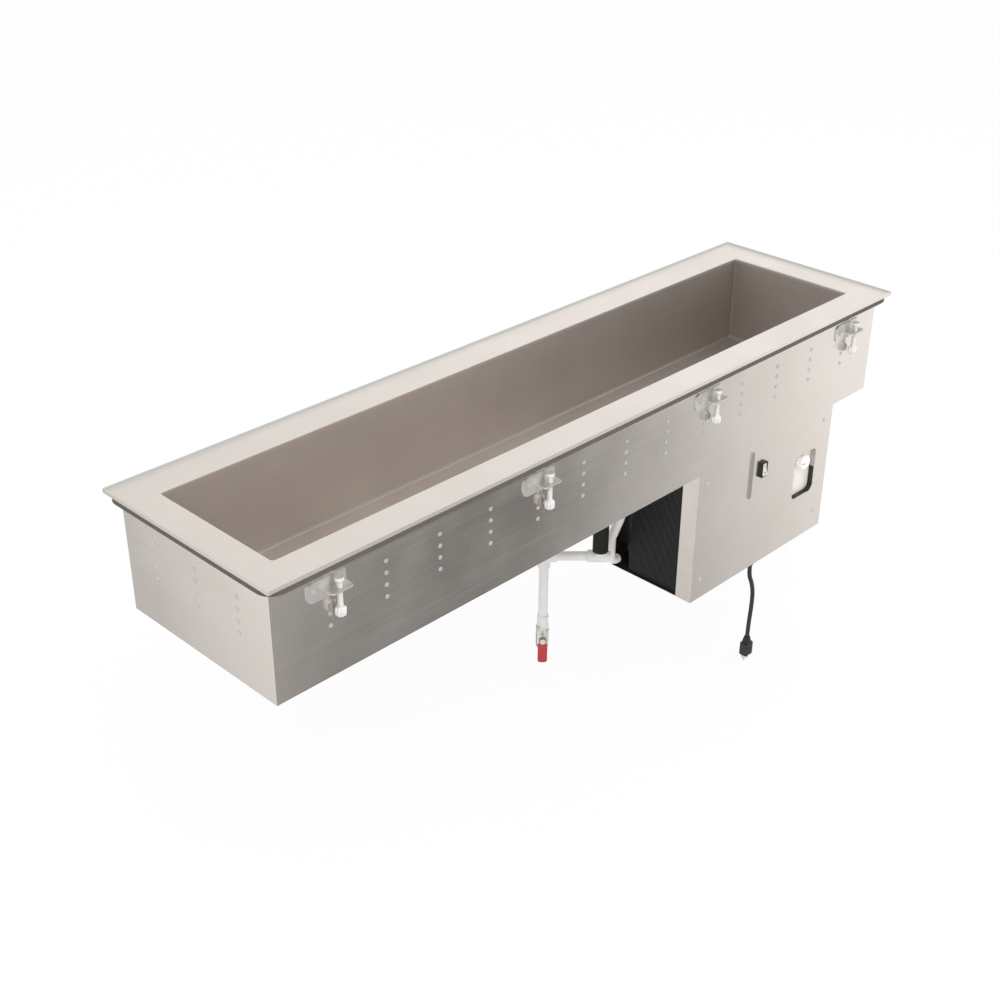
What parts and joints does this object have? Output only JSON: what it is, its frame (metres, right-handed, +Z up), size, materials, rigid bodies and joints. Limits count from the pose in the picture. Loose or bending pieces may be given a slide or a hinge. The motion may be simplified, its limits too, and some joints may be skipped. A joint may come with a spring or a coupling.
{
  "type": "refrigerated drop-in well",
  "caption": "Long refrigerated well with a flat rim that drops into a counter, with screw clamps under the rim, a compressor box with controls below, a drain with a lever valve and a cord.",
  "frame": {"origin": "centre of the counter cut-out, on the counter's top face, level with the gasket's underside", "axes": "+X along the well towards the compressor box, +Y to the back, +Z up"},
  "size_m": [1.7596, 0.4604, 0.8358],
  "materials": {
    "stainless": "brushed stainless sheet",
    "galvanised": "satin sheet",
    "gasket_foam": "matt closed-cell foam",
    "insulation": "rigid foam",
    "copper": "bare copper",
    "black_paint": "black paint",
    "zinc": "zinc plated",
    "bright_zinc": "bright zinc",
    "pale_plastic": "pale moulded plastic",
    "white_plastic": "white moulded plastic",
    "black_plastic": "black moulded plastic",
    "black_rubber": "matt rubber",
    "motor_paint": "grey paint",
    "nickel": "nickel-plated brass",
    "red_vinyl": "red vinyl dip",
    "white_foam": "white foam sleeve"
  },
  "bodies": {
    "casing": {"well_liner": "stainless", "rim_gasket": "gasket_foam", "insulation_foam": "insulation", "evaporator_tube": "copper", "front_panel": "galvanised", "back_panel": "galvanised", "left_end_panel": "galvanised", "right_end_panel": "galvanised", "bottom_panel": "galvanised", "vent_plugs": "pale_plastic", "panel_rivets": "zinc", "clamp_brackets": "zinc", "clamp_bolts": "zinc", "base_tray": "black_paint", "box_wrap": "galvanised", "condenser_fins": "black_paint", "condenser_tube": "black_paint", "fan_shroud": "black_paint", "fan_motor": "motor_paint", "compressor": "black_paint", "compressor_bushes": "black_rubber", "terminal_cover": "black_plastic", "filter_drier": "copper", "copper_lines": "copper", "line_insulation": "white_foam", "control_pocket": "black_plastic", "thermostat_body": "stainless", "switch_body": "black_plastic", "drain_spigot": "stainless", "drain_strainer": "stainless", "drain_sleeve": "black_rubber", "drain_tee": "white_plastic", "drain_cross_pipe": "white_plastic", "drain_elbow": "white_plastic", "drain_down_pipe": "white_plastic", "valve_body": "nickel", "cord_gland": "black_rubber", "power_cord": "black_rubber", "power_plug": "black_plastic"},
    "fan": {"fan_blade": "black_plastic"},
    "knob": {"thermostat_knob": "white_plastic"},
    "rocker": {"switch_rocker": "pale_plastic"},
    "valve_turner": {"valve_ball": "nickel", "valve_lever": "red_vinyl"},
    "clamp_pad_1": {"clamp_pad_1": "bright_zinc"},
    "clamp_screw_1": {"clamp_screw_1": "bright_zinc"},
    "clamp_pad_2": {"clamp_pad_2": "bright_zinc"},
    "clamp_screw_2": {"clamp_screw_2": "bright_zinc"},
    "clamp_pad_3": {"clamp_pad_3": "bright_zinc"},
    "clamp_screw_3": {"clamp_screw_3": "bright_zinc"},
    "clamp_pad_4": {"clamp_pad_4": "bright_zinc"},
    "clamp_screw_4": {"clamp_screw_4": "bright_zinc"},
    "clamp_pad_5": {"clamp_pad_5": "bright_zinc"},
    "clamp_screw_5": {"clamp_screw_5": "bright_zinc"},
    "clamp_pad_6": {"clamp_pad_6": "bright_zinc"},
    "clamp_screw_6": {"clamp_screw_6": "bright_zinc"},
    "clamp_pad_7": {"clamp_pad_7": "bright_zinc"},
    "clamp_screw_7": {"clamp_screw_7": "bright_zinc"},
    "clamp_pad_8": {"clamp_pad_8": "bright_zinc"},
    "clamp_screw_8": {"clamp_screw_8": "bright_zinc"}
  },
  "joints": [
    {"name": "fan_spin", "type": "hinge", "parent": "casing", "child": "fan", "pos_m": [0.3268, -0.0905, -0.3791], "axis": [1, 0, 0], "continuous": true},
    {"name": "knob_turn", "type": "hinge", "parent": "casing", "child": "knob", "pos_m": [0.6459, -0.203, -0.3394], "axis": [0, 1, 0], "range_deg": [0, 300]},
    {"name": "rocker_tilt", "type": "hinge", "parent": "casing", "child": "rocker", "pos_m": [0.4738, -0.205, -0.2899], "axis": [1, 0, 0], "range_deg": [0, 16]},
    {"name": "valve_turn", "type": "hinge", "parent": "casing", "child": "valve_turner", "pos_m": [0.08912, 0.08768, -0.6859], "axis": [-0.7071, -0.7071, 0], "range_deg": [0, 90]},
    {"name": "clamp_1_rise", "type": "slide", "parent": "casing", "child": "clamp_pad_1", "axis": [0, 0, 1], "range_m": [-0.0045, 0.0195]},
    {"name": "clamp_1_turn", "type": "hinge", "parent": "clamp_pad_1", "child": "clamp_screw_1", "pos_m": [-0.729, -0.216, -0.046], "axis": [0, 0, 1], "range_deg": [-1080, 4680]},
    {"name": "clamp_2_rise", "type": "slide", "parent": "casing", "child": "clamp_pad_2", "axis": [0, 0, 1], "range_m": [-0.0045, 0.0195]},
    {"name": "clamp_2_turn", "type": "hinge", "parent": "clamp_pad_2", "child": "clamp_screw_2", "pos_m": [-0.23067, -0.216, -0.046], "axis": [0, 0, 1], "range_deg": [-1080, 4680]},
    {"name": "clamp_3_rise", "type": "slide", "parent": "casing", "child": "clamp_pad_3", "axis": [0, 0, 1], "range_m": [-0.0045, 0.0195]},
    {"name": "clamp_3_turn", "type": "hinge", "parent": "clamp_pad_3", "child": "clamp_screw_3", "pos_m": [0.26767, -0.216, -0.046], "axis": [0, 0, 1], "range_deg": [-1080, 4680]},
    {"name": "clamp_4_rise", "type": "slide", "parent": "casing", "child": "clamp_pad_4", "axis": [0, 0, 1], "range_m": [-0.0045, 0.0195]},
    {"name": "clamp_4_turn", "type": "hinge", "parent": "clamp_pad_4", "child": "clamp_screw_4", "pos_m": [0.766, -0.216, -0.046], "axis": [0, 0, 1], "range_deg": [-1080, 4680]},
    {"name": "clamp_5_rise", "type": "slide", "parent": "casing", "child": "clamp_pad_5", "axis": [0, 0, 1], "range_m": [-0.0045, 0.0195]},
    {"name": "clamp_5_turn", "type": "hinge", "parent": "clamp_pad_5", "child": "clamp_screw_5", "pos_m": [0.729, 0.216, -0.046], "axis": [0, 0, 1], "range_deg": [-1080, 4680]},
    {"name": "clamp_6_rise", "type": "slide", "parent": "casing", "child": "clamp_pad_6", "axis": [0, 0, 1], "range_m": [-0.0045, 0.0195]},
    {"name": "clamp_6_turn", "type": "hinge", "parent": "clamp_pad_6", "child": "clamp_screw_6", "pos_m": [0.23067, 0.216, -0.046], "axis": [0, 0, 1], "range_deg": [-1080, 4680]},
    {"name": "clamp_7_rise", "type": "slide", "parent": "casing", "child": "clamp_pad_7", "axis": [0, 0, 1], "range_m": [-0.0045, 0.0195]},
    {"name": "clamp_7_turn", "type": "hinge", "parent": "clamp_pad_7", "child": "clamp_screw_7", "pos_m": [-0.26767, 0.216, -0.046], "axis": [0, 0, 1], "range_deg": [-1080, 4680]},
    {"name": "clamp_8_rise", "type": "slide", "parent": "casing", "child": "clamp_pad_8", "axis": [0, 0, 1], "range_m": [-0.0045, 0.0195]},
    {"name": "clamp_8_turn", "type": "hinge", "parent": "clamp_pad_8", "child": "clamp_screw_8", "pos_m": [-0.766, 0.216, -0.046], "axis": [0, 0, 1], "range_deg": [-1080, 4680]}
  ],
  "couplings": [
    {"joint": "clamp_1_turn", "follows": "clamp_1_rise", "rad_per_m": 4188.8},
    {"joint": "clamp_2_turn", "follows": "clamp_2_rise", "rad_per_m": 4188.8},
    {"joint": "clamp_3_turn", "follows": "clamp_3_rise", "rad_per_m": 4188.8},
    {"joint": "clamp_4_turn", "follows": "clamp_4_rise", "rad_per_m": 4188.8},
    {"joint": "clamp_5_turn", "follows": "clamp_5_rise", "rad_per_m": 4188.8},
    {"joint": "clamp_6_turn", "follows": "clamp_6_rise", "rad_per_m": 4188.8},
    {"joint": "clamp_7_turn", "follows": "clamp_7_rise", "rad_per_m": 4188.8},
    {"joint": "clamp_8_turn", "follows": "clamp_8_rise", "rad_per_m": 4188.8}
  ]
}
